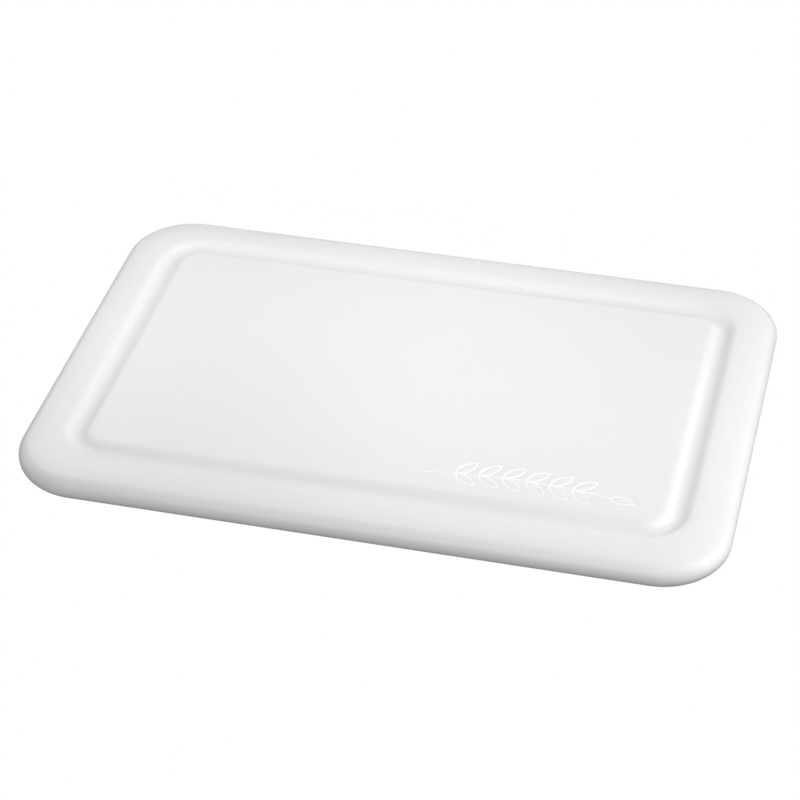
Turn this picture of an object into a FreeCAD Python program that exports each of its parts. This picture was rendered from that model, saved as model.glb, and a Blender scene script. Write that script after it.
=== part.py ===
"""Cutting board: a moulded slab with a juice groove, and four push-in feet under it.

Units are millimetres, +Z is up. The origin is on the surface that the feet stand on,
under the middle of the board. +X runs along the board's length and +Y to its far side.
"""
import FreeCAD
import Part
import math
import os

from FreeCAD import Vector

# Slab
BOARD_LENGTH = 380.0
BOARD_WIDTH = 253.0
BOARD_THICKNESS = 16.0
CORNER_RADIUS = 37.0
NOSE_RADIUS = 7.3
CROWN_INSET = 20.1

# Juice groove, measured in section from lip to lip and in plan from the board's edge
GROOVE_INSET = 29.2
GROOVE_WIDTH = 17.0
GROOVE_DEPTH = 3.4
GROOVE_LIP_RADIUS = 6.8
GROOVE_CORNER_RADIUS = 16.9

# Engraved sprig on the work field
SPRIG_CENTRE_X = 83.5
SPRIG_CENTRE_Y = -73.5
SPRIG_LENGTH = 112.0
SPRIG_STROKE = 0.9
SPRIG_DEPTH = 0.4
STEM_BEND_RADIUS = 320.0
LEAF_PAIRS = 6
LEAF_LENGTH = 15.0
LEAF_ARC_RADIUS = 10.5
LEAF_SPREAD_DEG = 38.0
FIRST_LEAF_AT = 0.16
LAST_LEAF_AT = 0.80

# Push-in feet and their sockets
FOOT_INSET = 46.0
FOOT_STANDOFF = 1.5
FOOT_HEAD_RADIUS = 8.0
FOOT_HEAD_HEIGHT = 3.0
FOOT_EDGE_RADIUS = 0.6
FOOT_DIMPLE_RADIUS = 2.5
FOOT_DIMPLE_DEPTH = 0.5
STEM_RADIUS = 2.7
STEM_LENGTH = 6.5
RIB_COUNT = 3
RIB_PITCH = 1.7
SOCKET_GAP = 0.5
SOCKET_BORE_RADIUS = 3.0
SOCKET_BORE_DEPTH = 7.0

UP = Vector(0, 0, 1)
ORIGIN = Vector(0, 0, 0)

HALF_LENGTH = BOARD_LENGTH / 2
HALF_WIDTH = BOARD_WIDTH / 2
TOP_Z = FOOT_STANDOFF + BOARD_THICKNESS


def carried_round(section, half_x, half_y):
    """Carry a flat section round a rectangle: along its four sides and round its four corners.

    The section lies in the XZ plane, and its X is the distance outwards from the rectangle.
    """
    pieces = []
    for quarter in range(4):
        out, along = (half_x, half_y) if quarter % 2 == 0 else (half_y, half_x)
        side = section.extrude(Vector(0, 2 * along, 0))
        side.translate(Vector(out, -along, 0))
        corner = section.revolve(ORIGIN, UP, 90)
        corner.translate(Vector(out, along, 0))
        for piece in (side, corner):
            piece.rotate(ORIGIN, UP, 90 * quarter)
            pieces.append(piece)
    return pieces[0].multiFuse(pieces[1:])


def edge_section():
    """Section of the slab's edge, from the corner's axis out to the nose.

    The nose is one arc from the underside to the point where it turns into the crown, a much larger
    arc that levels out just outside the groove.
    """
    crown_run = CROWN_INSET - NOSE_RADIUS
    crown_rise = BOARD_THICKNESS - 2 * NOSE_RADIUS
    crown_turn = 2 * math.atan(crown_rise / crown_run)
    crown_radius = NOSE_RADIUS + crown_run / math.sin(crown_turn)
    nose_x = CORNER_RADIUS - NOSE_RADIUS
    crown_x = nose_x - crown_run

    def on_nose(angle):
        return Vector(nose_x + NOSE_RADIUS * math.sin(angle), 0, NOSE_RADIUS + NOSE_RADIUS * math.cos(angle))

    def on_crown(angle):
        drop = crown_radius * (1 - math.cos(angle))
        return Vector(crown_x + crown_radius * math.sin(angle), 0, BOARD_THICKNESS - drop)

    axis_foot = Vector(0, 0, 0)
    axis_head = Vector(0, 0, BOARD_THICKNESS)
    edges = [
        Part.LineSegment(axis_foot, on_nose(math.pi)).toShape(),
        Part.Arc(on_nose(math.pi), on_nose(math.pi / 2), on_nose(crown_turn)).toShape(),
        Part.Arc(on_nose(crown_turn), on_crown(crown_turn / 2), on_crown(0)).toShape(),
        Part.LineSegment(on_crown(0), axis_head).toShape(),
        Part.LineSegment(axis_head, axis_foot).toShape(),
    ]
    return Part.Face(Part.Wire(edges))


def slab_blank():
    """The slab before anything is cut in it, with its underside at Z = 0."""
    half_x = HALF_LENGTH - CORNER_RADIUS
    half_y = HALF_WIDTH - CORNER_RADIUS
    middle = Part.makeBox(2 * half_x, 2 * half_y, BOARD_THICKNESS, Vector(-half_x, -half_y, 0))
    blank = carried_round(edge_section(), half_x, half_y).fuse(middle)
    return blank.removeSplitter()


def is_groove_lip(edge):
    """Tell the sharp edges that the groove cutter leaves in the top face from all other edges."""
    flat_at_top = abs(edge.BoundBox.ZMin - BOARD_THICKNESS) < 1e-4 and edge.BoundBox.ZLength < 1e-4
    middle = edge.valueAt((edge.FirstParameter + edge.LastParameter) / 2)
    inset = min(HALF_LENGTH - abs(middle.x), HALF_WIDTH - abs(middle.y))
    near_groove = abs(inset - GROOVE_INSET) < GROOVE_WIDTH / 2 - 0.5
    return flat_at_top and near_groove


def with_juice_groove(slab):
    """Cut the groove with a round bar bent round a rectangle, and ease both of its lips."""
    half_width = GROOVE_WIDTH / 2
    floor_radius = (half_width ** 2 + GROOVE_DEPTH ** 2) / (2 * GROOVE_DEPTH) - GROOVE_LIP_RADIUS
    bar_centre = Vector(GROOVE_CORNER_RADIUS, 0, BOARD_THICKNESS - GROOVE_DEPTH + floor_radius)
    circle = Part.Circle(bar_centre, Vector(0, 1, 0), floor_radius)
    section = Part.Face(Part.Wire([circle.toShape()]))
    axis_inset = GROOVE_INSET + GROOVE_CORNER_RADIUS
    bar = carried_round(section, HALF_LENGTH - axis_inset, HALF_WIDTH - axis_inset)
    grooved = slab.cut(bar).removeSplitter()
    lips = [edge for edge in grooved.Edges if is_groove_lip(edge)]
    return grooved.makeFillet(GROOVE_LIP_RADIUS, lips)


def foot_places():
    """Name and plan position of each foot, one near each corner."""
    x = HALF_LENGTH - FOOT_INSET
    y = HALF_WIDTH - FOOT_INSET
    places = {}
    for row, side_y in (("front", -y), ("rear", y)):
        for column, side_x in (("left", -x), ("right", x)):
            places["foot_%s_%s" % (row, column)] = Vector(side_x, side_y, 0)
    return places


def foot_socket():
    """The space for one foot: a shallow seat for its head and a blind bore for its stem."""
    seat_depth = FOOT_HEAD_HEIGHT - FOOT_STANDOFF
    seat = Part.makeCylinder(FOOT_HEAD_RADIUS + SOCKET_GAP, seat_depth + 1, Vector(0, 0, -1))
    bore = Part.makeCylinder(SOCKET_BORE_RADIUS, SOCKET_BORE_DEPTH + seat_depth)
    return seat.fuse(bore)


def leaf_ring(length):
    """Engraved outline of one leaf, from its base at the origin along +X to its tip.

    The leaf is where two equal discs overlap. The line is what is left between the full discs and
    discs that are smaller by the stroke.
    """
    centre_offset = math.sqrt(LEAF_ARC_RADIUS ** 2 - (length / 2) ** 2)

    def overlap(radius, height, base_z):
        discs = [
            Part.makeCylinder(radius, height, Vector(length / 2, side * centre_offset, base_z))
            for side in (-1, 1)
        ]
        return discs[0].common(discs[1])

    outer = overlap(LEAF_ARC_RADIUS, SPRIG_DEPTH + 1, -SPRIG_DEPTH)
    inner = overlap(LEAF_ARC_RADIUS - SPRIG_STROKE, SPRIG_DEPTH + 3, -SPRIG_DEPTH - 1)
    return outer.cut(inner)


def sprig():
    """Cutter for the engraved sprig: a bent stem, leaves in pairs along it and one at its tip.

    Z = 0 is the work field. The stem's middle is at the origin.
    """
    stem_length = SPRIG_LENGTH - LEAF_LENGTH
    half_turn = math.degrees(stem_length / 2 / STEM_BEND_RADIUS)
    height = SPRIG_DEPTH + 1

    def along_stem(share):
        """Frame at a share of the stem's length: how far it has turned, and where it is."""
        turn = (2 * share - 1) * half_turn
        angle = math.radians(turn)
        x = STEM_BEND_RADIUS * math.sin(angle) - LEAF_LENGTH / 2
        y = STEM_BEND_RADIUS * (math.cos(angle) - 1)
        return -turn, Vector(x, y, 0)

    outer = Part.makeCylinder(
        STEM_BEND_RADIUS + SPRIG_STROKE / 2, height, ORIGIN, UP, 2 * half_turn)
    inner = Part.makeCylinder(
        STEM_BEND_RADIUS - SPRIG_STROKE / 2, height, ORIGIN, UP, 2 * half_turn)
    stem = outer.cut(inner)
    stem.rotate(ORIGIN, UP, 90 - half_turn)
    stem.translate(Vector(-LEAF_LENGTH / 2, -STEM_BEND_RADIUS, -SPRIG_DEPTH))

    leaves = []
    for pair in range(LEAF_PAIRS):
        share = FIRST_LEAF_AT + (LAST_LEAF_AT - FIRST_LEAF_AT) * pair / (LEAF_PAIRS - 1)
        turn, base = along_stem(share)
        for side in (-1, 1):
            leaf = leaf_ring(LEAF_LENGTH)
            leaf.rotate(ORIGIN, UP, turn + side * LEAF_SPREAD_DEG)
            leaf.translate(base)
            leaves.append(leaf)
    turn, base = along_stem(1 - SPRIG_STROKE / stem_length)
    tip_leaf = leaf_ring(LEAF_LENGTH)
    tip_leaf.rotate(ORIGIN, UP, turn)
    tip_leaf.translate(base)
    return stem.multiFuse(leaves + [tip_leaf])


def board():
    """The moulded slab with its groove, the feet's sockets and the engraved sprig."""
    shape = with_juice_groove(slab_blank())
    socket = foot_socket()
    for place in foot_places().values():
        hole = socket.copy()
        hole.translate(place)
        shape = shape.cut(hole)
    mark = sprig()
    mark.translate(Vector(SPRIG_CENTRE_X, SPRIG_CENTRE_Y, BOARD_THICKNESS))
    shape = shape.cut(mark)
    shape.translate(Vector(0, 0, FOOT_STANDOFF))
    return shape


def foot():
    """One elastomer foot as it sits in its socket, turned from its half section.

    The stem's ribs are drawn at the bore's size, the size they are squeezed to once pushed in.
    """
    stem_z = FOOT_HEAD_HEIGHT
    edge_x = FOOT_HEAD_RADIUS - FOOT_EDGE_RADIUS
    edge_mid = FOOT_EDGE_RADIUS * (1 - math.sqrt(0.5))
    lower = [
        Vector(0, 0, FOOT_DIMPLE_DEPTH),
        Vector(FOOT_DIMPLE_RADIUS, 0, FOOT_DIMPLE_DEPTH),
        Vector(FOOT_DIMPLE_RADIUS, 0, 0),
        Vector(edge_x, 0, 0),
    ]
    upper = [
        Vector(FOOT_HEAD_RADIUS, 0, FOOT_EDGE_RADIUS),
        Vector(FOOT_HEAD_RADIUS, 0, stem_z),
        Vector(STEM_RADIUS, 0, stem_z),
    ]
    for rib in range(RIB_COUNT):
        rib_z = stem_z + 1 + rib * RIB_PITCH
        upper.append(Vector(STEM_RADIUS, 0, rib_z))
        upper.append(Vector(SOCKET_BORE_RADIUS, 0, rib_z + RIB_PITCH / 4))
        upper.append(Vector(STEM_RADIUS, 0, rib_z + RIB_PITCH * 0.75))
    upper.append(Vector(STEM_RADIUS, 0, stem_z + STEM_LENGTH))
    upper.append(Vector(0, 0, stem_z + STEM_LENGTH))
    edge_arc = Part.Arc(
        lower[-1], Vector(FOOT_HEAD_RADIUS - edge_mid, 0, edge_mid), upper[0]).toShape()
    outline = Part.Wire(
        Part.makePolygon(lower).Edges + [edge_arc] + Part.makePolygon(upper + [lower[0]]).Edges)
    return Part.Face(outline).revolve(ORIGIN, UP, 360)


def main():
    os.makedirs("parts", exist_ok=True)
    shapes = {"board": board()}
    for name, place in foot_places().items():
        shapes[name] = foot()
        shapes[name].translate(place)
    for name, shape in shapes.items():
        if not shape.isValid() or len(shape.Solids) != 1:
            raise RuntimeError("%s isn't one valid solid" % name)
        shape.Solids[0].exportStep("parts/%s.step" % name)
        print("%-18s %9.1f mm3" % (name, shape.Volume))


main()
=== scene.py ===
"""Looks of a white moulded cutting board with push-in feet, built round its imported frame.

The board is one polyethylene moulding, so its whole skin is made by one rule: sections of arcs and
straight runs carried round a rounded rectangle. The same rule turns the foot sockets and the feet.
Lengths are metres and angles are radians, unless a name says otherwise.
"""

import logging
import math
from dataclasses import dataclass
from enum import Enum
from typing import Any, Callable, Mapping, Sequence

import bpy
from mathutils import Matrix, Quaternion, Vector


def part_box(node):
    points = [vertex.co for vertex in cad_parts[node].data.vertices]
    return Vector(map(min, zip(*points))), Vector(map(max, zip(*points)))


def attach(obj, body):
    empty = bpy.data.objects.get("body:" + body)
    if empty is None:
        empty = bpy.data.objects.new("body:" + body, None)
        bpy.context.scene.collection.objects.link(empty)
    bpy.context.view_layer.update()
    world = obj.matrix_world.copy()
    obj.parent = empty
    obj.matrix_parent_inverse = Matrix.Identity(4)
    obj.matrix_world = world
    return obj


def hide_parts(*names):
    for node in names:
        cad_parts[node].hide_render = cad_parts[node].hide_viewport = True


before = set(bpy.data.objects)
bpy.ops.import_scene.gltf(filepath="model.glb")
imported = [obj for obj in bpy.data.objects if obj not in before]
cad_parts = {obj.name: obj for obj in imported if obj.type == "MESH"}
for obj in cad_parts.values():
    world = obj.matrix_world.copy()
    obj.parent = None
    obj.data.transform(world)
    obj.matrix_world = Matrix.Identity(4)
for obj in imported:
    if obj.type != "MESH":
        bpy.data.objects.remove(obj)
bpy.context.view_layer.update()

log = logging.getLogger("cutting_board")

BODY = "root"
QUARTER_TURN = math.pi / 2
STRAIGHT = 1e-4
WELD_DISTANCE = 0.000002
OPENING_LEVEL = 0.001
NOISE_MIDDLE = 0.5
CUT_ATTRIBUTE = "engraved"


class Slot(Enum):
    """The record's material slots."""

    BOARD = "white_polyethylene"
    FOOT = "foot_elastomer"


class Number:
    """A number that flows through a node tree, with Python's own arithmetic."""

    def __init__(self, graph: "Graph", socket: bpy.types.NodeSocket) -> None:
        """Wrap one output socket.

        Args:
            graph: The tree that the socket is in.
            socket: The output that the number comes from.
        """
        self.graph = graph
        self.socket = socket

    def __add__(self, other: "Number | float") -> "Number":
        """Sum."""
        return self.graph.math("ADD", self, other)

    __radd__ = __add__

    def __sub__(self, other: "Number | float") -> "Number":
        """Difference."""
        return self.graph.math("SUBTRACT", self, other)

    def __rsub__(self, other: float) -> "Number":
        """Difference from a plain number."""
        return self.graph.math("SUBTRACT", other, self)

    def __mul__(self, other: "Number | float") -> "Number":
        """Product."""
        return self.graph.math("MULTIPLY", self, other)

    __rmul__ = __mul__

    def __truediv__(self, other: "Number | float") -> "Number":
        """Quotient."""
        return self.graph.math("DIVIDE", self, other)

    def __rtruediv__(self, other: float) -> "Number":
        """Quotient of a plain number by this one."""
        return self.graph.math("DIVIDE", other, self)

    def __neg__(self) -> "Number":
        """The number with its sign turned."""
        return self.graph.math("MULTIPLY", self, -1.0)


class Graph:
    """A geometry or shader node tree, with short calls to fill it."""

    def __init__(self, tree: bpy.types.NodeTree) -> None:
        """Take over a tree.

        Args:
            tree: The tree to add nodes to.
        """
        self.tree = tree
        self.entry: bpy.types.Node | None = None
        self.exit: bpy.types.Node | None = None

    @classmethod
    def group(
        cls, name: str, kind: str, inputs: Mapping[str, str], outputs: Mapping[str, str]
    ) -> "Graph":
        """Make a node group with named sockets.

        Args:
            name: The group's name.
            kind: The tree's type, such as GeometryNodeTree.
            inputs: Socket name to short socket type, such as Float.
            outputs: The same for the outputs.

        Returns:
            The new group's graph.
        """
        tree = bpy.data.node_groups.new(name, kind)
        for direction, sockets in (("INPUT", inputs), ("OUTPUT", outputs)):
            for socket, short_type in sockets.items():
                tree.interface.new_socket(
                    socket, in_out=direction, socket_type=f"NodeSocket{short_type}")
        graph = cls(tree)
        graph.entry = graph.add("NodeGroupInput")
        graph.exit = graph.add("NodeGroupOutput")
        return graph

    def add(
        self, kind: str, inputs: Mapping[int | str, Any] | None = None, **settings: Any
    ) -> bpy.types.Node:
        """Add one node.

        Args:
            kind: The node's type.
            inputs: Input name or place to its value or source.
            **settings: The node's own properties.

        Returns:
            The node.
        """
        node = self.tree.nodes.new(kind)
        for name, value in settings.items():
            setattr(node, name, value)
        for key, value in (inputs or {}).items():
            self.feed(node.inputs[key], value)
        return node

    def feed(self, socket: bpy.types.NodeSocket, value: Any) -> None:
        """Give an input its value.

        Args:
            socket: The input.
            value: A number or a socket to link to it, or a constant to set it to.
        """
        if isinstance(value, Number):
            value = value.socket
        if isinstance(value, bpy.types.NodeSocket):
            self.tree.links.new(value, socket)
        else:
            socket.default_value = value

    def given(self, name: str) -> Number:
        """The group's own input of that name, as a number."""
        return Number(self, self.entry.outputs[name])

    def math(self, operation: str, *operands: "Number | float") -> Number:
        """Do one arithmetic operation.

        Args:
            operation: The math node's operation.
            *operands: What it works on, in order.

        Returns:
            Its result.
        """
        node = self.add("ShaderNodeMath", dict(enumerate(operands)), operation=operation)
        return Number(self, node.outputs[0])

    def sin(self, angle: "Number | float") -> Number:
        """Sine."""
        return self.math("SINE", angle)

    def cos(self, angle: "Number | float") -> Number:
        """Cosine."""
        return self.math("COSINE", angle)

    def vector(self, x: Any, y: Any, z: Any) -> bpy.types.NodeSocket:
        """Vector made of three numbers."""
        return self.add("ShaderNodeCombineXYZ", {0: x, 1: y, 2: z}).outputs[0]

    def split(self, vector: bpy.types.NodeSocket) -> tuple[Number, Number, Number]:
        """The three numbers in a vector."""
        node = self.add("ShaderNodeSeparateXYZ", {0: vector})
        return tuple(Number(self, output) for output in node.outputs)

    def join(self, *geometries: bpy.types.NodeSocket) -> bpy.types.NodeSocket:
        """Join several geometries.

        Args:
            *geometries: The geometries, first to last.

        Returns:
            All of them as one.
        """
        node = self.add("GeometryNodeJoinGeometry")
        for geometry in reversed(geometries):
            self.tree.links.new(geometry, node.inputs[0])
        return node.outputs[0]

    def placed(self, geometry: bpy.types.NodeSocket, translation: Any) -> bpy.types.NodeSocket:
        """Move a geometry.

        Args:
            geometry: What is moved.
            translation: How far, as three constants or as a vector socket.

        Returns:
            The moved geometry.
        """
        inputs = {"Geometry": geometry, "Translation": translation}
        return self.add("GeometryNodeTransform", inputs).outputs[0]

    def welded(self, geometry: bpy.types.NodeSocket) -> bpy.types.NodeSocket:
        """A mesh with its coincident points made one."""
        inputs = {"Geometry": geometry, "Distance": WELD_DISTANCE}
        return self.add("GeometryNodeMergeByDistance", inputs).outputs[0]

    def flipped(self, mesh: bpy.types.NodeSocket) -> bpy.types.NodeSocket:
        """A mesh turned inside out."""
        return self.add("GeometryNodeFlipFaces", {0: mesh}).outputs[0]

    def open_edges(self, mesh: bpy.types.NodeSocket, high: bool) -> bpy.types.NodeSocket:
        """The rims of a mesh's openings as curves.

        Args:
            mesh: The mesh with openings.
            high: True for the openings above the base, False for those in it.

        Returns:
            Closed curves, each along edges that have one face only.
        """
        faces = Number(self, self.add("GeometryNodeInputMeshEdgeNeighbors").outputs[0])
        height = self.split(self.add("GeometryNodeInputPosition").outputs[0])[2]
        single = self.math("LESS_THAN", faces, 1.5)
        level = self.math("GREATER_THAN" if high else "LESS_THAN", height, OPENING_LEVEL)
        inputs = {"Mesh": mesh, "Selection": single * level}
        return self.add("GeometryNodeMeshToCurve", inputs).outputs[0]

    def filled(self, curves: bpy.types.NodeSocket, height: Any) -> bpy.types.NodeSocket:
        """Lay a flat skin inside closed curves.

        Args:
            curves: The curves. One inside another bounds a hole.
            height: Where the skin lies.

        Returns:
            The skin.
        """
        skin = self.add("GeometryNodeFillCurve", {"Curve": curves}, mode="TRIANGLES")
        return self.placed(skin.outputs[0], self.vector(0, 0, height))

    def finished(self, mesh: bpy.types.NodeSocket, crease_deg: float) -> None:
        """End a piece's tree: weld it, smooth it but for its creases, and give it its material.

        Args:
            mesh: The whole mesh, still open at its welds.
            crease_deg: Edges that turn more than this stay sharp.
        """
        angle = Number(self, self.add("GeometryNodeInputMeshEdgeAngle").outputs[0])
        crease = self.math("GREATER_THAN", angle, math.radians(crease_deg))
        smooth = self.add("GeometryNodeSetShadeSmooth", {
            "Geometry": self.welded(mesh), "Shade Smooth": True})
        sharp = self.add("GeometryNodeSetShadeSmooth", {
            "Geometry": smooth.outputs[0], "Selection": crease, "Shade Smooth": False},
            domain="EDGE")
        real = self.add("GeometryNodeRealizeInstances", {0: sharp.outputs[0]})
        dressed = self.add("GeometryNodeSetMaterial", {
            "Geometry": real.outputs[0], "Material": self.entry.outputs["Material"]})
        self.feed(self.exit.inputs[0], dressed.outputs[0])


@dataclass(frozen=True)
class Station:
    """A point of a section, and the run that leads to it from the point before.

    Attributes:
        inset: Distance inwards from the outline.
        height: Height above the section's base.
        axis: Distance inwards from the outline to the axis of the outline's corners.
        turn: How far the run turns, clockwise below zero.
        steps: How many faces wide the run is.
    """

    inset: Any
    height: Any
    axis: Any
    turn: Any = STRAIGHT
    steps: int = 1


@dataclass(frozen=True)
class Fineness:
    """How many faces each kind of run is divided into.

    Attributes:
        nose: Round the board's edge.
        crown: Up the crown of its rim.
        lip: Over a lip of the groove.
        trough: Across the groove's floor.
        board_corner: Round a quarter turn of the board's outline.
        board_side: Along each straight side of the outline.
        mouth: Over the edge of a foot socket.
        foot_edge: Over the lower edge of a foot.
        tread: Across a tread ring.
        foot_quarter: Round a quarter of a foot or its socket.
    """

    nose: int = 28
    crown: int = 8
    lip: int = 8
    trough: int = 20
    board_corner: int = 28
    board_side: int = 6
    mouth: int = 4
    foot_edge: int = 6
    tread: int = 6
    foot_quarter: int = 12


FACES = Fineness()


class RoundedFrame:
    """Carries runs of a section, straight or arcs, round a rectangle with rounded corners."""

    def __init__(self) -> None:
        """Build the node group that carries one run."""
        graph = Graph.group(
            "rounded_frame_run", "GeometryNodeTree",
            {"Half Length": "Float", "Half Width": "Float", "Start": "Vector", "End": "Vector",
             "Turn": "Float", "Run Steps": "Int", "Corner Steps": "Int", "Side Steps": "Int"},
            {"Mesh": "Geometry"})
        given = graph.given
        quarter_steps = given("Corner Steps") + given("Side Steps")
        grid = graph.add("GeometryNodeMeshGrid", {
            "Size X": 1.0, "Size Y": 1.0,
            "Vertices X": 4 * quarter_steps + 1, "Vertices Y": given("Run Steps") + 1})
        u, v, _ = graph.split(graph.add("GeometryNodeInputPosition").outputs[0])
        step = graph.math("ROUND", (u + 0.5) * 4 * quarter_steps)
        across = v + 0.5

        quarter = graph.math("FLOOR", step / quarter_steps)
        rest = step - quarter * quarter_steps
        round_corner = graph.math("MINIMUM", rest / given("Corner Steps"), 1.0)
        along_side = graph.math("MAXIMUM", rest - given("Corner Steps"), 0.0) / given("Side Steps")
        heading = (quarter + round_corner) * QUARTER_TURN
        diagonal = (quarter + 0.5) * QUARTER_TURN
        next_diagonal = diagonal + QUARTER_TURN

        def between(part: Callable[[Number], Number]) -> Number:
            """One coordinate on the unit square's side, from this corner to the next."""
            mixed = part(diagonal) * (1 - along_side) + part(next_diagonal) * along_side
            return mixed * math.sqrt(2)

        side_x, side_y = between(graph.cos), between(graph.sin)

        start_inset, start_height, start_axis = graph.split(graph.entry.outputs["Start"])
        end_inset, end_height, end_axis = graph.split(graph.entry.outputs["End"])
        run, rise, turn = end_inset - start_inset, end_height - start_height, given("Turn")
        share = graph.sin(turn * across * 0.5) / graph.sin(turn * 0.5)
        lean = turn * (across - 1) * 0.5
        inset = start_inset + share * (run * graph.cos(lean) - rise * graph.sin(lean))
        height = start_height + share * (run * graph.sin(lean) + rise * graph.cos(lean))
        axis = start_axis + (end_axis - start_axis) * across

        reach = axis - inset
        x = side_x * (given("Half Length") - axis) + reach * graph.cos(heading)
        y = side_y * (given("Half Width") - axis) + reach * graph.sin(heading)
        moved = graph.add("GeometryNodeSetPosition", {
            "Geometry": grid.outputs[0], "Position": graph.vector(x, y, height)})
        graph.feed(graph.exit.inputs[0], moved.outputs[0])
        self.tree = graph.tree

    def carry(
        self,
        graph: Graph,
        stations: Sequence[Station],
        half_size: tuple[Any, Any],
        corner_steps: int,
        side_steps: int = 1,
    ) -> bpy.types.NodeSocket:
        """Carry a section round, one run after another.

        Args:
            graph: The tree to add to.
            stations: The section's points, in order, with the skin's outside on their left.
            half_size: Half the outline's length and width.
            corner_steps: Faces round each quarter turn.
            side_steps: Faces along each straight side.

        Returns:
            The open skin that the section sweeps.
        """
        bands = []
        for start, end in zip(stations, stations[1:]):
            node = graph.add("GeometryNodeGroup", node_tree=self.tree)
            values = {
                "Half Length": half_size[0], "Half Width": half_size[1],
                "Start": graph.vector(start.inset, start.height, start.axis),
                "End": graph.vector(end.inset, end.height, end.axis),
                "Turn": end.turn, "Run Steps": end.steps,
                "Corner Steps": corner_steps, "Side Steps": side_steps,
            }
            for name, value in values.items():
                graph.feed(node.inputs[name], value)
            bands.append(node.outputs[0])
        return graph.join(*bands)


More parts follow.
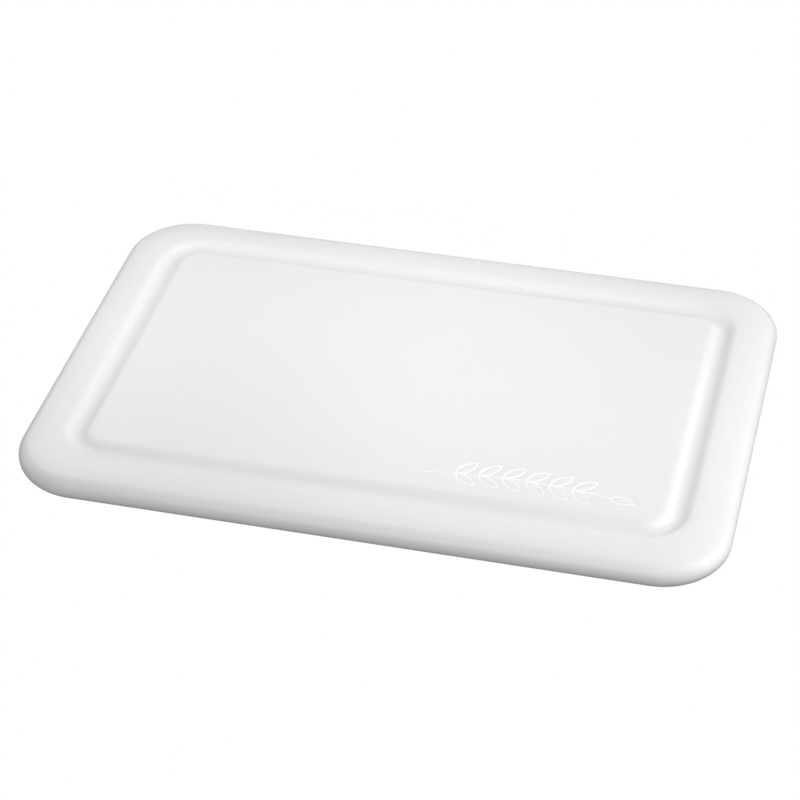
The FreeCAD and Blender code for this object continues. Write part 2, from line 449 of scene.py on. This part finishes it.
@dataclass(frozen=True)
class Sprig:
    """The engraved herb sprig: a bent stem with leaves in pairs and one at its tip.

    Attributes:
        centre: Its middle on the board, in plan.
        length: From the stem's foot to the tip leaf's point.
        stroke: Width of the engraved line.
        depth: Depth of the line.
        softness: How far the line's edges are rounded over.
        bend_radius: Radius that the stem is bent to.
        pairs: Pairs of leaves.
        leaf_length: From a leaf's base to its point.
        leaf_radius: Radius of the arcs that bound a leaf.
        spread_deg: Angle between a leaf and the stem.
        first: Where the first pair is, as a share of the stem.
        last: Where the last pair is.
        leaf_points: Points along each of the arcs that bound a leaf.
        stem_points: Points along the stem.
        patch: Length and width of the finely divided part of the field that holds it.
        pitch: Size of that part's squares.
    """

    centre: tuple[float, float] = (0.0835, -0.0735)
    length: float = 0.112
    stroke: float = 0.0009
    depth: float = 0.0004
    softness: float = 0.00025
    bend_radius: float = 0.320
    pairs: int = 6
    leaf_length: float = 0.015
    leaf_radius: float = 0.0105
    spread_deg: float = 38.0
    first: float = 0.16
    last: float = 0.80
    leaf_points: int = 24
    stem_points: int = 96
    patch: tuple[float, float] = (0.116, 0.028)
    pitch: float = 0.00022

    def leaf(self, graph: Graph) -> bpy.types.NodeSocket:
        """Draw one leaf as two arcs, from its base at the origin to its point on +X.

        Args:
            graph: The tree to add to.

        Returns:
            The leaf's outline.
        """
        centre_offset = math.sqrt(self.leaf_radius ** 2 - (self.leaf_length / 2) ** 2)
        line_radius = self.leaf_radius - self.stroke / 2
        half_sweep = math.acos(centre_offset / line_radius)
        arcs = []
        for side in (-1, 1):
            arc = graph.add("GeometryNodeCurveArc", {
                "Resolution": self.leaf_points, "Radius": line_radius,
                "Start Angle": side * QUARTER_TURN - half_sweep, "Sweep Angle": 2 * half_sweep})
            offset = (self.leaf_length / 2, -side * centre_offset, 0)
            arcs.append(graph.placed(arc.outputs[0], offset))
        return graph.join(*arcs)

    def lines(self, graph: Graph) -> bpy.types.NodeSocket:
        """Draw the whole engraving's middle lines, at the origin and at height zero.

        Args:
            graph: The tree to add to.

        Returns:
            The lines as loose edges.
        """
        stem_length = self.length - self.leaf_length
        half_turn = stem_length / 2 / self.bend_radius
        stem = graph.add("GeometryNodeCurveArc", {
            "Resolution": self.stem_points, "Radius": self.bend_radius,
            "Start Angle": QUARTER_TURN - half_turn, "Sweep Angle": 2 * half_turn})
        stem_line = graph.placed(stem.outputs[0], (-self.leaf_length / 2, -self.bend_radius, 0))

        index = Number(graph, graph.add("GeometryNodeInputIndex").outputs[0])
        pair = graph.math("FLOOR", index / 2)
        at_tip = graph.math("GREATER_THAN", pair, self.pairs - 0.5)
        paired = self.first + pair * ((self.last - self.first) / (self.pairs - 1))
        share = paired * (1 - at_tip) + at_tip
        side = ((index - pair * 2) * 2 - 1) * (1 - at_tip)
        angle = (2 * share - 1) * half_turn
        base = graph.vector(
            graph.sin(angle) * self.bend_radius - self.leaf_length / 2,
            (graph.cos(angle) - 1) * self.bend_radius, 0.0)
        points = graph.add("GeometryNodePoints", {"Count": 2 * self.pairs + 1, "Position": base})
        leaves = graph.add("GeometryNodeInstanceOnPoints", {
            "Points": points.outputs[0], "Instance": self.leaf(graph),
            "Rotation": graph.vector(0, 0, side * math.radians(self.spread_deg) - angle)})
        real = graph.add("GeometryNodeRealizeInstances", {0: leaves.outputs[0]})
        drawn = graph.join(stem_line, real.outputs[0])
        return graph.add("GeometryNodeCurveToMesh", {"Curve": drawn}).outputs[0]

    def flat_patch(self, graph: Graph) -> bpy.types.NodeSocket:
        """Lay the finely divided part of the field, still flat and at height zero.

        Args:
            graph: The tree to add to.

        Returns:
            The patch, in place in plan.
        """
        counts = [round(side / self.pitch) + 1 for side in self.patch]
        grid = graph.add("GeometryNodeMeshGrid", {
            "Size X": self.patch[0], "Size Y": self.patch[1],
            "Vertices X": counts[0], "Vertices Y": counts[1]})
        return graph.placed(grid.outputs[0], (*self.centre, 0.0))

    def engraved(self, graph: Graph, patch: bpy.types.NodeSocket) -> bpy.types.NodeSocket:
        """Sink the sprig's lines into the patch, with rounded edges.

        Args:
            graph: The tree to add to.
            patch: The finely divided part of the field.

        Returns:
            The patch with the lines cut in it, and with how far each point is cut as an attribute.
        """
        target = graph.placed(self.lines(graph), (*self.centre, 0.0))
        near = graph.add("GeometryNodeProximity", {0: target}, target_element="EDGES")
        half_stroke = self.stroke / 2
        share = graph.add("ShaderNodeMapRange", {
            "Value": near.outputs["Distance"],
            "From Min": half_stroke - self.softness, "From Max": half_stroke + self.softness,
            "To Min": 1.0, "To Max": 0.0}, interpolation_type="SMOOTHSTEP")
        cut = Number(graph, share.outputs[0])
        marked = graph.add("GeometryNodeStoreNamedAttribute", {
            "Geometry": patch, "Name": CUT_ATTRIBUTE, "Value": cut},
            data_type="FLOAT", domain="POINT")
        sunk = graph.add("GeometryNodeSetPosition", {
            "Geometry": marked.outputs[0], "Offset": graph.vector(0, 0, cut * -self.depth)})
        return sunk.outputs[0]


@dataclass(frozen=True)
class FootPlan:
    """A push-in foot and its socket, as radii and heights from the face that it stands on.

    Attributes:
        head_radius: The head's radius.
        head_height: The head's thickness.
        edge_radius: Rounding of the head's lower edge.
        dimple_radius: Radius of the dimple in the middle of its underside.
        dimple_depth: The dimple's depth.
        treads: Ring grooves round the dimple.
        tread_width: Width of each ring groove.
        tread_depth: Its depth.
        stem_radius: The stem's radius between its ribs.
        stem_length: The stem's length.
        ribs: Ribs on the stem.
        first_rib: From the head to the first rib.
        rib_pitch: From one rib to the next.
        rib_crest_share: Where a rib's crest is, as a share of the pitch.
        rib_end_share: Where the rib ends, likewise.
        gap: Space round the head in its seat.
        bore_radius: Radius of the bore that holds the stem.
        bore_depth: The bore's depth above the seat.
    """

    head_radius: float = 0.008
    head_height: float = 0.003
    edge_radius: float = 0.0006
    dimple_radius: float = 0.0025
    dimple_depth: float = 0.0005
    treads: int = 2
    tread_width: float = 0.0006
    tread_depth: float = 0.0003
    stem_radius: float = 0.0027
    stem_length: float = 0.0065
    ribs: int = 3
    first_rib: float = 0.001
    rib_pitch: float = 0.0017
    rib_crest_share: float = 0.25
    rib_end_share: float = 0.75
    gap: float = 0.0005
    bore_radius: float = 0.003
    bore_depth: float = 0.007


@dataclass
class BoardMoulding:
    """The one-piece slab: bullnose edge, crowned rim, juice groove, field, sprig and foot sockets.

    Attributes:
        frame_rule: Carries sections round.
        sprig: The engraving.
        foot: The feet that its sockets take.
        corner_radius: The outline's corners in plan.
        nose_radius: The edge's radius.
        crown_inset: Where the rim levels out.
        groove_inset: From the outline to the middle of the groove.
        groove_width: The groove from lip to lip.
        groove_depth: The groove's depth.
        groove_lip_radius: Rounding of its lips.
        groove_corner_radius: The groove's corners in plan, at its middle.
        guard: Width of the flat margin between a curve and a wide flat skin.
        crease_deg: Edges that turn more than this stay sharp.
    """

    frame_rule: RoundedFrame
    sprig: Sprig
    foot: FootPlan
    corner_radius: float = 0.037
    nose_radius: float = 0.0073
    crown_inset: float = 0.0201
    groove_inset: float = 0.0292
    groove_width: float = 0.017
    groove_depth: float = 0.0034
    groove_lip_radius: float = 0.0068
    groove_corner_radius: float = 0.0169
    guard: float = 0.0004
    crease_deg: float = 40.0

    def __post_init__(self) -> None:
        """Read the slab's size and place from the frame."""
        low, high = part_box("board")
        self.size = high - low
        self.base_height = low.z

    def skin(self, graph: Graph) -> bpy.types.NodeSocket:
        """Carry the rim and the groove round, from the underside to the field's margin.

        Args:
            graph: The tree to add to.

        Returns:
            The open skin.
        """
        given = graph.given
        thickness, nose = given("Thickness"), given("Nose Radius")
        outer_axis = given("Corner Radius")
        crown = given("Crown Inset")
        crown_turn = 2 * graph.math("ARCTAN2", thickness - 2 * nose, crown - nose)

        half_groove, lip = given("Groove Width") * 0.5, given("Lip Radius")
        wall_turn = 2 * graph.math("ARCTAN2", given("Groove Depth"), half_groove)
        lip_run = lip * graph.sin(wall_turn)
        wall_height = thickness - lip * (1 - graph.cos(wall_turn))
        middle = given("Groove Inset")
        groove_axis = middle + given("Groove Corner Radius")
        first, last = middle - half_groove, middle + half_groove
        nose_top = nose + nose * graph.cos(crown_turn)
        nose_end = nose - nose * graph.sin(crown_turn)
        stations = [
            Station(nose + self.guard, 0.0, outer_axis),
            Station(nose, 0.0, outer_axis),
            Station(nose_end, nose_top, outer_axis, crown_turn - math.pi, FACES.nose),
            Station(crown, thickness, outer_axis, -crown_turn, FACES.crown),
            Station(first, thickness, groove_axis),
            Station(first + lip_run, wall_height, groove_axis, -wall_turn, FACES.lip),
            Station(last - lip_run, wall_height, groove_axis, 2 * wall_turn, FACES.trough),
            Station(last, thickness, groove_axis, -wall_turn, FACES.lip),
            Station(last + self.guard, thickness, groove_axis),
        ]
        half_size = (given("Length") * 0.5, given("Width") * 0.5)
        return self.frame_rule.carry(
            graph, stations, half_size, FACES.board_corner, FACES.board_side)

    def sockets(self, graph: Graph) -> bpy.types.NodeSocket:
        """Set the four foot sockets in, each a seat with a bore above it.

        Args:
            graph: The tree to add to.

        Returns:
            Their open skins.
        """
        plan = self.foot
        mouth = plan.head_radius + plan.gap
        seat = plan.head_height - self.base_height
        soft = plan.gap / 2
        ledge = mouth - plan.bore_radius
        stations = [
            Station(-soft - self.guard, 0.0, mouth),
            Station(-soft, 0.0, mouth),
            Station(0.0, soft, mouth, QUARTER_TURN, FACES.mouth),
            Station(0.0, seat, mouth),
            Station(ledge, seat, mouth),
            Station(ledge, seat + plan.bore_depth, mouth),
            Station(mouth, seat + plan.bore_depth, mouth),
        ]
        one = self.frame_rule.carry(graph, stations, (mouth, mouth), FACES.foot_quarter)
        feet = graph.add("GeometryNodeMeshLine", {"Count": 4})
        index = Number(graph, graph.add("GeometryNodeInputIndex").outputs[0])
        far = graph.math("FLOOR", index / 2)
        right = index - far * 2
        reach_x = graph.given("Length") * 0.5 - graph.given("Foot Inset")
        reach_y = graph.given("Width") * 0.5 - graph.given("Foot Inset")
        spots = graph.add("GeometryNodeSetPosition", {
            "Geometry": feet.outputs[0],
            "Position": graph.vector((2 * right - 1) * reach_x, (2 * far - 1) * reach_y, 0.0)})
        set_in = graph.add("GeometryNodeInstanceOnPoints", {
            "Points": spots.outputs[0], "Instance": graph.flipped(graph.welded(one))})
        return graph.add("GeometryNodeRealizeInstances", {0: set_in.outputs[0]}).outputs[0]

    def build(self, material: bpy.types.Material) -> bpy.types.Object:
        """Make the slab's mesh.

        Args:
            material: Its finish.

        Returns:
            The finished piece.
        """
        low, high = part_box("foot_rear_right")
        sizes = {
            "Length": self.size.x, "Width": self.size.y, "Thickness": self.size.z,
            "Base Height": self.base_height, "Corner Radius": self.corner_radius,
            "Nose Radius": self.nose_radius, "Crown Inset": self.crown_inset,
            "Groove Inset": self.groove_inset, "Groove Width": self.groove_width,
            "Groove Depth": self.groove_depth, "Lip Radius": self.groove_lip_radius,
            "Groove Corner Radius": self.groove_corner_radius,
            "Foot Inset": self.size.x / 2 - (low.x + high.x) / 2,
        }
        graph = Graph.group(
            "moulded_board", "GeometryNodeTree",
            {"Geometry": "Geometry", **dict.fromkeys(sizes, "Float"), "Material": "Material"},
            {"Geometry": "Geometry"})
        shell = graph.welded(graph.join(self.skin(graph), self.sockets(graph)))
        underside = graph.flipped(graph.filled(graph.open_edges(shell, high=False), 0.0))
        patch = self.sprig.flat_patch(graph)
        patch_rim = graph.open_edges(graph.placed(patch, (0, 0, 2 * OPENING_LEVEL)), high=True)
        top = graph.given("Thickness")
        field_rims = graph.join(graph.open_edges(shell, high=True), patch_rim)
        field = graph.filled(field_rims, top)
        engraving = graph.placed(self.sprig.engraved(graph, patch), graph.vector(0, 0, top))
        whole = graph.join(shell, underside, field, engraving)
        raised = graph.placed(whole, graph.vector(0, 0, graph.given("Base Height")))
        graph.finished(raised, self.crease_deg)
        return made_by_nodes("board_moulding", graph.tree, {**sizes, "Material": material})


@dataclass
class PushInFoot:
    """One elastomer foot in its socket.

    Attributes:
        node: The CAD node that it stands for.
        plan: Its sizes.
        crease_deg: Edges that turn more than this stay sharp.
    """

    node: str
    plan: FootPlan
    crease_deg: float = 35.0

    def section(self) -> list[Station]:
        """Plan the foot's half section, from its underside's middle to its stem's tip.

        Returns:
            The section's stations, in order.
        """
        plan = self.plan
        radius, stem = plan.head_radius, plan.head_radius - plan.stem_radius
        dimple = radius - plan.dimple_radius
        stations = [
            Station(radius, plan.dimple_depth, radius),
            Station(dimple + plan.dimple_depth, plan.dimple_depth, radius),
            Station(dimple, 0.0, radius),
        ]
        half_tread = plan.tread_width / 2
        tread_turn = 4 * math.atan2(plan.tread_depth, half_tread)
        for tread in range(plan.treads, 0, -1):
            middle = dimple * tread / (plan.treads + 1)
            stations += [
                Station(middle + half_tread, 0.0, radius),
                Station(middle - half_tread, 0.0, radius, tread_turn, FACES.tread),
            ]
        stations += [
            Station(plan.edge_radius, 0.0, radius),
            Station(0.0, plan.edge_radius, radius, -QUARTER_TURN, FACES.foot_edge),
            Station(0.0, plan.head_height, radius),
            Station(stem, plan.head_height, radius),
        ]
        crest = radius - plan.bore_radius
        for rib in range(plan.ribs):
            base = plan.head_height + plan.first_rib + rib * plan.rib_pitch
            stations += [
                Station(stem, base, radius),
                Station(crest, base + plan.rib_pitch * plan.rib_crest_share, radius),
                Station(stem, base + plan.rib_pitch * plan.rib_end_share, radius),
            ]
        tip = plan.head_height + plan.stem_length
        stations += [Station(stem, tip, radius), Station(radius, tip, radius)]
        return stations

    def build(
        self, frame_rule: RoundedFrame, material: bpy.types.Material
    ) -> bpy.types.Object:
        """Make the foot's mesh where the frame has its node.

        Args:
            frame_rule: Carries its section round.
            material: Its finish.

        Returns:
            The finished piece.
        """
        low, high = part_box(self.node)
        centre = (low + high) / 2
        place = {"Centre X": centre.x, "Centre Y": centre.y, "Base Height": low.z,
                 "Radius": self.plan.head_radius}
        graph = Graph.group(
            f"{self.node}_rule", "GeometryNodeTree",
            {"Geometry": "Geometry", **dict.fromkeys(place, "Float"), "Material": "Material"},
            {"Geometry": "Geometry"})
        given = graph.given
        radius = given("Radius")
        turned = frame_rule.carry(graph, self.section(), (radius, radius), FACES.foot_quarter)
        spot = graph.vector(given("Centre X"), given("Centre Y"), given("Base Height"))
        graph.finished(graph.placed(turned, spot), self.crease_deg)
        return made_by_nodes(f"{self.node}_bumper", graph.tree, {**place, "Material": material})


def made_by_nodes(
    name: str, tree: bpy.types.NodeTree, values: Mapping[str, Any]
) -> bpy.types.Object:
    """Run a geometry tree and keep its result as a plain mesh.

    Args:
        name: The piece's name.
        tree: The tree to run.
        values: Input name to value.

    Returns:
        A mesh object at the origin, with no modifier.
    """
    piece = bpy.data.objects.new(name, bpy.data.meshes.new(name))
    bpy.context.scene.collection.objects.link(piece)
    modifier = piece.modifiers.new("rule", "NODES")
    modifier.node_group = tree
    for item in tree.interface.items_tree:
        if item.in_out == "INPUT" and item.name in values:
            modifier[item.identifier] = values[item.name]
    evaluated = piece.evaluated_get(bpy.context.evaluated_depsgraph_get())
    mesh = bpy.data.meshes.new_from_object(evaluated)
    mesh.name = name
    piece.modifiers.clear()
    piece.data = mesh
    return piece


@dataclass(frozen=True)
class MouldedSurface:
    """Shader group for a moulded plastic skin: fine grain, soft flow clouds and rare specks.

    Attributes:
        coarse_times: Size of the coarse grain, in sizes of the fine one.
        speck_times: Size of the noise that specks are cut from, likewise.
        speck_start: Level of that noise at a speck's rim.
        speck_full: Its level where the speck is full.
        fine_share: The fine grain's part in the height.
        coarse_share: The coarse grain's part.
        speck_pit: How far a speck is sunk, on the same scale.
    """

    coarse_times: float = 4.0
    speck_times: float = 6.0
    speck_start: float = 0.66
    speck_full: float = 0.72
    fine_share: float = 0.7
    coarse_share: float = 0.3
    speck_pit: float = 0.8

    def tree(self) -> bpy.types.NodeTree:
        """Build the group, once for all the materials that use it.

        Returns:
            The group.
        """
        graph = Graph.group(
            "moulded_surface", "ShaderNodeTree",
            {"Colour": "Color", "Grain Size": "Float", "Cloud Size": "Float",
             "Cloud Depth": "Float", "Roughness": "Float", "Roughness Spread": "Float",
             "Speck Depth": "Float", "Cut": "Float", "Cut Whitening And Painted Highlight": "Float"},
            {"Colour": "Color", "Roughness": "Float", "Height": "Float"})
        place = graph.add("ShaderNodeTexCoord").outputs["Object"]

        def noise(size: Number, detail: float, roughness: float) -> Number:
            """Noise whose features are about that size, round a middle of NOISE_MIDDLE."""
            node = graph.add("ShaderNodeTexNoise", {
                "Vector": place, "Scale": 1 / size, "Detail": detail, "Roughness": roughness})
            return Number(graph, node.outputs[0])

        given = graph.given
        grain = noise(given("Grain Size"), detail=3.0, roughness=0.55)
        coarse = noise(given("Grain Size") * self.coarse_times, detail=2.0, roughness=0.5)
        cloud = noise(given("Cloud Size"), detail=3.0, roughness=0.5)
        patchy = noise(given("Grain Size") * self.speck_times, detail=4.0, roughness=0.6)
        speck_range = graph.add("ShaderNodeMapRange", {
            "Value": patchy, "From Min": self.speck_start, "From Max": self.speck_full},
            interpolation_type="SMOOTHSTEP")
        speck = Number(graph, speck_range.outputs[0])
        clouded = (cloud - NOISE_MIDDLE) * given("Cloud Depth")
        # Specks darken the tone. Engraved lines lighten it, partly as whitened cut plastic and
        # partly as a painted highlight where light catches their edges.
        shade = (1 + (clouded - speck * given("Speck Depth"))
                 + given("Cut") * given("Cut Whitening And Painted Highlight"))
        tinted = graph.add("ShaderNodeVectorMath", {
            0: graph.entry.outputs["Colour"], "Scale": shade}, operation="SCALE")
        wander = coarse - NOISE_MIDDLE + cloud - NOISE_MIDDLE
        gloss = given("Roughness") + wander * given("Roughness Spread")
        height = grain * self.fine_share + coarse * self.coarse_share - speck * self.speck_pit
        graph.feed(graph.exit.inputs["Colour"], tinted.outputs[0])
        graph.feed(graph.exit.inputs["Roughness"], gloss)
        graph.feed(graph.exit.inputs["Height"], height)
        return graph.tree


@dataclass(frozen=True)
class PlasticFinish:
    """A moulded plastic or elastomer.

    Attributes:
        slot: The record's slot that it fills.
        colour: Its own colour, linear.
        roughness: Mean roughness.
        roughness_spread: How far the roughness wanders.
        grain_size: Size of the grain.
        grain_height: Height of the grain.
        cloud_size: Size of the flow clouds.
        cloud_depth: How much the clouds change the colour.
        glow_weight: How much of the light goes in under the skin.
        glow_depth: How far red, green and blue light travel there.
        speck_depth: How much darker a speck is.
        cut_whitening_and_painted_highlight: How much paler an engraved line is, partly for the
            whitened cut plastic and partly as a painted highlight where light catches the line's
            edges.
        refraction: Index of refraction.
    """

    slot: Slot
    colour: tuple[float, float, float]
    roughness: float
    roughness_spread: float
    grain_size: float
    grain_height: float
    cloud_size: float
    cloud_depth: float
    glow_weight: float
    glow_depth: tuple[float, float, float]
    speck_depth: float
    cut_whitening_and_painted_highlight: float = 0.0
    refraction: float = 1.5

    def material(self, surface: bpy.types.NodeTree) -> bpy.types.Material:
        """Make the material.

        Args:
            surface: The shared group for a moulded skin.

        Returns:
            The material.
        """
        material = bpy.data.materials.new(self.slot.value)
        material.use_nodes = True
        graph = Graph(material.node_tree)
        material.node_tree.nodes.clear()
        skin = graph.add("ShaderNodeGroup", node_tree=surface)
        cut = graph.add("ShaderNodeAttribute", attribute_name=CUT_ATTRIBUTE)
        for name, value in {
            "Colour": (*self.colour, 1.0), "Grain Size": self.grain_size,
            "Cloud Size": self.cloud_size, "Cloud Depth": self.cloud_depth,
            "Roughness": self.roughness, "Roughness Spread": self.roughness_spread,
            "Speck Depth": self.speck_depth, "Cut Whitening And Painted Highlight": self.cut_whitening_and_painted_highlight,
            "Cut": cut.outputs["Fac"],
        }.items():
            graph.feed(skin.inputs[name], value)
        bump = graph.add("ShaderNodeBump", {
            "Strength": 1.0, "Distance": self.grain_height, "Height": skin.outputs["Height"]})
        shader = graph.add("ShaderNodeBsdfPrincipled", {
            "Base Color": skin.outputs["Colour"], "Roughness": skin.outputs["Roughness"],
            "Normal": bump.outputs[0], "Subsurface Weight": self.glow_weight,
            "Subsurface Radius": self.glow_depth, "Subsurface Scale": 1.0,
            "IOR": self.refraction})
        graph.add("ShaderNodeOutputMaterial", {"Surface": shader.outputs[0]})
        return material


@dataclass(frozen=True)
class SoftLight:
    """A square studio light that faces the board's middle.

    Attributes:
        name: What it does.
        azimuth_deg: Where it stands, from the -Y side towards +X.
        elevation_deg: Its height above the table.
        distance: From the board's middle.
        side: Length of its side.
        radiance: Light that it sends out.
    """

    name: str
    azimuth_deg: float
    elevation_deg: float
    distance: float
    side: float
    radiance: float

    def build(self) -> None:
        """Hang the light."""
        data = bpy.data.lights.new(self.name, "AREA")
        data.shape = "SQUARE"
        data.size = self.side
        data.energy = self.radiance * self.side ** 2 * math.pi
        lamp = bpy.data.objects.new(self.name, data)
        back = direction(self.azimuth_deg, self.elevation_deg)
        lamp.location = back * self.distance
        lamp.visible_camera = False
        lamp.rotation_euler = back.to_track_quat("Z", "Y").to_euler()
        bpy.context.scene.collection.objects.link(lamp)


def direction(azimuth_deg: float, elevation_deg: float) -> Vector:
    """Point from the board to a place round it.

    Args:
        azimuth_deg: Where the place is, from the -Y side towards +X.
        elevation_deg: Its height above the table.

    Returns:
        A unit vector.
    """
    azimuth, elevation = math.radians(azimuth_deg), math.radians(elevation_deg)
    return Vector((
        math.sin(azimuth) * math.cos(elevation), -math.cos(azimuth) * math.cos(elevation),
        math.sin(elevation)))


@dataclass(frozen=True)
class Studio:
    """Pale floor, soft lights and the camera.

    Attributes:
        lights: The soft lights.
        surround: How much light the room gives to the board.
        floor_side: Length of the floor's side.
        floor_bounce: How much light the floor gives to the board.
        underside_glow: The same, for the underside as seen from below.
        camera_azimuth_deg: Where the camera stands, from the -Y side towards +X.
        camera_elevation_deg: The camera's height.
        camera_roll_deg: How far it is turned about its line of sight, clockwise.
        camera_distance: From the camera to where it aims.
        aim: Where it aims, in plan.
        aim_height: The same, above the floor.
        lens_mm: Focal length on a 36 mm frame.
    """

    lights: tuple[SoftLight, ...]
    surround: float = 0.1
    floor_side: float = 30.0
    floor_bounce: float = 0.12
    underside_glow: float = 0.7
    camera_azimuth_deg: float = 14.13
    camera_elevation_deg: float = 37.31
    camera_roll_deg: float = 0.71
    camera_distance: float = 1.3976
    aim: tuple[float, float] = (-0.0021, -0.0107)
    aim_height: float = 0.0092
    lens_mm: float = 115.8

    def floor_material(self) -> bpy.types.Material:
        """Make a floor that is white to the camera, dim to the board, and clear from below.

        To a path that has come up through it, the floor lights the board's underside.

        Returns:
            The material.
        """
        material = bpy.data.materials.new("studio_floor")
        material.use_nodes = True
        material.cycles.emission_sampling = "NONE"
        material.node_tree.nodes.clear()
        graph = Graph(material.node_tree)
        path = graph.add("ShaderNodeLightPath").outputs
        seen = Number(graph, path["Is Camera Ray"])
        from_below = graph.math("GREATER_THAN", Number(graph, path["Transparent Depth"]), 0.5)
        indirect = self.floor_bounce + from_below * (self.underside_glow - self.floor_bounce)
        paper = graph.add("ShaderNodeEmission", {
            "Color": (1, 1, 1, 1), "Strength": seen + (1 - seen) * indirect})
        clear = graph.add("ShaderNodeBsdfTransparent")
        side = graph.add("ShaderNodeNewGeometry")
        both = graph.add("ShaderNodeMixShader", {
            0: side.outputs["Backfacing"], 1: paper.outputs[0], 2: clear.outputs[0]})
        graph.add("ShaderNodeOutputMaterial", {"Surface": both.outputs[0]})
        return material

    def build_floor(self) -> None:
        """Lay the floor that the feet stand on."""
        half = self.floor_side / 2
        mesh = bpy.data.meshes.new("studio_floor")
        corners = [(-half, -half, 0), (half, -half, 0), (half, half, 0), (-half, half, 0)]
        mesh.from_pydata(corners, [], [(0, 1, 2, 3)])
        mesh.materials.append(self.floor_material())
        floor = bpy.data.objects.new("studio_floor", mesh)
        bpy.context.scene.collection.objects.link(floor)

    def build_room(self) -> None:
        """Fill the room with a faint even light behind a white backdrop."""
        world = bpy.data.worlds.new("studio_room")
        world.use_nodes = True
        graph = Graph(world.node_tree)
        seen = Number(graph, graph.add("ShaderNodeLightPath").outputs["Is Camera Ray"])
        background = world.node_tree.nodes["Background"]
        background.inputs["Color"].default_value = (1, 1, 1, 1)
        graph.feed(background.inputs["Strength"], seen + (1 - seen) * self.surround)
        bpy.context.scene.world = world

    def build_camera(self) -> None:
        """Stand the camera in its place."""
        data = bpy.data.cameras.new("studio_camera")
        data.lens = self.lens_mm
        camera = bpy.data.objects.new("studio_camera", data)
        back = direction(self.camera_azimuth_deg, self.camera_elevation_deg)
        camera.location = Vector((*self.aim, self.aim_height)) + back * self.camera_distance
        roll = Quaternion((0, 0, 1), -math.radians(self.camera_roll_deg))
        camera.rotation_euler = (back.to_track_quat("Z", "Y") @ roll).to_euler()
        bpy.context.scene.collection.objects.link(camera)
        bpy.context.scene.camera = camera

    def build(self) -> None:
        """Set the whole studio up."""
        self.build_floor()
        self.build_room()
        self.build_camera()
        for light in self.lights:
            light.build()
        bpy.context.scene.view_settings.view_transform = "Standard"


# The board's engraved lines are painted paler, partly as whitened cut plastic and partly as a
# painted highlight.
POLYETHYLENE = PlasticFinish(
    slot=Slot.BOARD, colour=(0.86, 0.86, 0.852), roughness=0.42, roughness_spread=0.12,
    grain_size=0.0009, grain_height=0.00003, cloud_size=0.09, cloud_depth=0.03,
    glow_weight=0.3, glow_depth=(0.0045, 0.0038, 0.0036),
    speck_depth=0.04, cut_whitening_and_painted_highlight=0.25)

ELASTOMER = PlasticFinish(
    slot=Slot.FOOT, colour=(0.52, 0.53, 0.53), roughness=0.62, roughness_spread=0.12,
    grain_size=0.0005, grain_height=0.00004, cloud_size=0.006, cloud_depth=0.08,
    glow_weight=0.0, glow_depth=(0.001, 0.001, 0.001), speck_depth=0.03)

FAR, NEAR, CLOSE = 1.4, 0.55, 0.45

STUDIO = Studio(lights=(
    SoftLight("overhead", 0.0, 88.0, 0.18, 0.15, 0.68),
    SoftLight("rear_top", 180.0, 60.0, 0.3, 0.2, 0.979),
    SoftLight("left_near", -90.0, 35.0, 0.3, 0.15, 1.15),
    SoftLight("right_front", 60.0, 38.0, CLOSE, 0.25, 0.938),
    SoftLight("rear_left", -120.0, 38.0, CLOSE, 0.25, 1.47),
    SoftLight("right_end", 90.0, 25.0, NEAR, 0.35, 1.84),
    SoftLight("front", 0.0, 26.0, FAR, 0.9, 3.09),
    SoftLight("right_low", 90.0, 12.0, FAR, 0.9, 1.53),
    SoftLight("right_high", 90.0, 42.0, FAR, 0.9, 1.5),
    SoftLight("left_low", -90.0, 12.0, FAR, 0.9, 1.2),
    SoftLight("rear_right", 150.0, 26.0, FAR, 0.9, 0.775),
    SoftLight("rear", 180.0, 26.0, FAR, 0.9, 0.969),
))


def keep(piece: bpy.types.Object, slot: Slot, *nodes: str) -> None:
    """Let a finished piece stand for its CAD nodes and report it.

    Args:
        piece: The piece.
        slot: The record's slot that it takes its finish from. Not used.
        *nodes: The CAD nodes that it stands for.
    """
    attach(piece, BODY)
    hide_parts(*nodes)
    mesh = piece.data
    log.info("%s: %d vertices, %d faces", piece.name, len(mesh.vertices), len(mesh.polygons))


def main() -> None:
    """Build the board, its feet and the studio."""
    logging.basicConfig(level=logging.INFO, format="%(message)s")
    surface = MouldedSurface().tree()
    frame_rule, foot_plan = RoundedFrame(), FootPlan()
    moulding = BoardMoulding(frame_rule, Sprig(), foot_plan)
    keep(moulding.build(POLYETHYLENE.material(surface)), Slot.BOARD, "board")
    elastomer = ELASTOMER.material(surface)
    for node in sorted(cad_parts):
        if node.startswith("foot_"):
            keep(PushInFoot(node, foot_plan).build(frame_rule, elastomer), Slot.FOOT, node)
    STUDIO.build()


if __name__ == "__main__":
    main()
